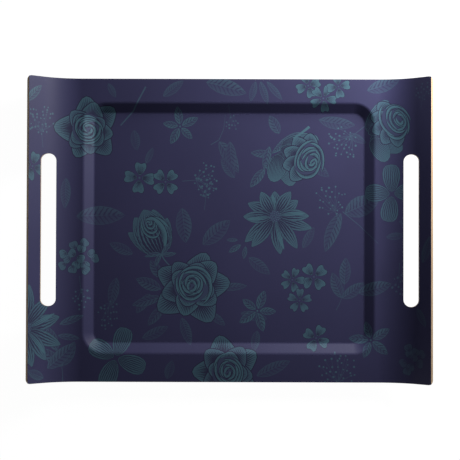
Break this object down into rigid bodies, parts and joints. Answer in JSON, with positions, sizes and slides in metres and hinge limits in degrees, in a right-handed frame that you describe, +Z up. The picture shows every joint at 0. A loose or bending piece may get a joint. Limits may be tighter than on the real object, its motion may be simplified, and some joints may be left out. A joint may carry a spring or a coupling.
{
  "type": "serving tray",
  "caption": "Rectangular serving tray in printed moulded laminate, with a shallow rounded well, raised curved ends and a long hand slot in each end.",
  "frame": {"origin": "on the surface that the tray stands on, below the middle of its outline", "axes": "+X along the length to the right-hand handle, +Y to the back edge, +Z up"},
  "size_m": [0.5, 0.38, 0.0467],
  "materials": {
    "clear_overlay": "satin, clear",
    "printed_decor_sheet": "printed, satin under the overlay",
    "birch_long_grain": "cut birch, grain along the length",
    "birch_cross_grain": "cut birch, end grain at the long edges",
    "backing_sheet": "matt melamine"
  },
  "bodies": {
    "root": {"clear_overlay": "clear_overlay", "printed_decor_sheet": "printed_decor_sheet", "veneer_1_top": "birch_long_grain", "veneer_2_cross": "birch_cross_grain", "veneer_3_core": "birch_long_grain", "veneer_4_cross": "birch_cross_grain", "veneer_5_bottom": "birch_long_grain", "backing_sheet": "backing_sheet"}
  },
  "joints": []
}
